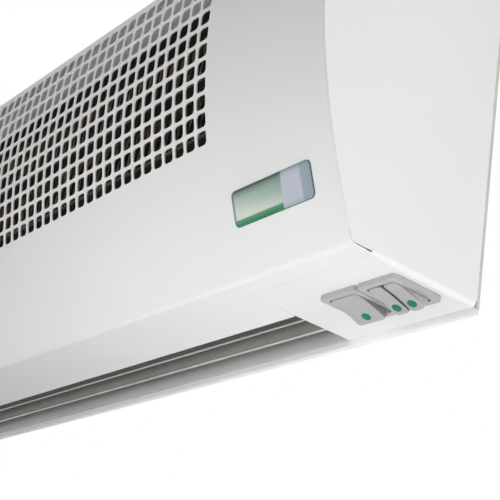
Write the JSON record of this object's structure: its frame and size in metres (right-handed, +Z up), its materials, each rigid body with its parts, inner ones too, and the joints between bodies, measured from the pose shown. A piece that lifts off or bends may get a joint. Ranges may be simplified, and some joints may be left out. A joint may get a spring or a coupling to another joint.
{
  "type": "air curtain",
  "caption": "Wall-mounted air curtain with a curved perforated front, a bottom outlet slot with guide vanes and rocker switches under one end.",
  "frame": {"origin": "on the wall face, halfway along the unit, at the height of the casing's underside", "axes": "+X along the unit towards the switches, +Y into the wall, +Z up"},
  "size_m": [0.785, 0.125, 0.2033],
  "materials": {
    "white_paint": "semi-gloss powder coat",
    "zinc_sheet": "galvanised",
    "bright_steel": "zinc plated",
    "black_impeller": "blackened",
    "black_rubber": "matt",
    "bronze": "sintered",
    "laminations": "matt",
    "copper_wire": "enamelled",
    "motor_paint": "satin",
    "capacitor_case": "matt",
    "mica": "matt board",
    "heater_wire": "oxidised resistance wire",
    "dark_plastic": "matt",
    "cream_plastic": "matt",
    "brass_metal": "plain",
    "switch_plastic": "satin",
    "teal_dot": "gloss",
    "brown_leads": "satin",
    "black_lead": "satin",
    "white_leads": "glass braid",
    "badge_print": "printed label",
    "badge_resin": "clear domed resin"
  },
  "bodies": {
    "casing": {"rear_plate": "white_paint", "right_side_panel": "white_paint", "left_side_panel": "white_paint", "front_cover": "white_paint", "top_panel": "white_paint", "cover_screws": "bright_steel", "panel_screws": "bright_steel", "right_end_plate": "zinc_sheet", "left_end_plate": "zinc_sheet", "end_plate_screws": "bright_steel", "scroll_sheet": "zinc_sheet", "outlet_tongue": "zinc_sheet", "front_outlet_vane": "zinc_sheet", "rear_outlet_vane": "zinc_sheet", "bearing_bush": "bronze", "bearing_mount": "black_rubber", "motor_stator": "laminations", "motor_windings": "copper_wire", "motor_bearings": "bright_steel", "motor_rear_cup": "motor_paint", "motor_front_cup": "motor_paint", "motor_bracket": "zinc_sheet", "motor_screws": "bright_steel", "run_capacitor": "capacitor_case", "capacitor_clip": "zinc_sheet", "heater_rails": "mica", "lower_heater_winding": "heater_wire", "upper_heater_winding": "heater_wire", "right_heater_bracket": "zinc_sheet", "left_heater_bracket": "zinc_sheet", "overheat_thermostat": "dark_plastic", "terminal_block": "cream_plastic", "terminal_screws": "brass_metal", "cable_gland": "dark_plastic", "gland_locknut": "dark_plastic", "earth_stud": "brass_metal", "earth_nut": "brass_metal", "fan_switch_housing": "switch_plastic", "heat_switch_housing": "switch_plastic", "rocker_pins": "bright_steel", "switch_tabs": "brass_metal", "switch_wiring": "brown_leads", "motor_wiring": "black_lead", "heater_wiring": "white_leads", "wire_grommets": "black_rubber", "badge_plate": "badge_print", "badge_dome": "badge_resin"},
    "fan": {"impeller": "black_impeller", "impeller_hub": "black_rubber", "impeller_stub_shaft": "bright_steel", "motor_shaft": "bright_steel", "motor_rotor": "laminations"},
    "rocker_fan": {"fan_rocker": "switch_plastic", "fan_rocker_dot": "teal_dot"},
    "rocker_heat_one": {"heat_rocker_one": "switch_plastic", "heat_dot_one": "teal_dot"},
    "rocker_heat_two": {"heat_rocker_two": "switch_plastic", "heat_dot_two": "teal_dot"}
  },
  "joints": [
    {"name": "impeller_spin", "type": "hinge", "parent": "casing", "child": "fan", "pos_m": [0, -0.0555, 0.09], "axis": [1, 0, 0], "continuous": true},
    {"name": "fan_switch", "type": "hinge", "parent": "casing", "child": "rocker_fan", "pos_m": [0.3475, -0.0358, 0.0009], "axis": [1, 0, 0], "range_deg": [0, 28.4]},
    {"name": "heat_switch_one", "type": "hinge", "parent": "casing", "child": "rocker_heat_one", "pos_m": [0.3687, -0.0358, 0.0009], "axis": [1, 0, 0], "range_deg": [0, 28.4]},
    {"name": "heat_switch_two", "type": "hinge", "parent": "casing", "child": "rocker_heat_two", "pos_m": [0.3789, -0.0358, 0.0009], "axis": [1, 0, 0], "range_deg": [0, 28.4]}
  ]
}
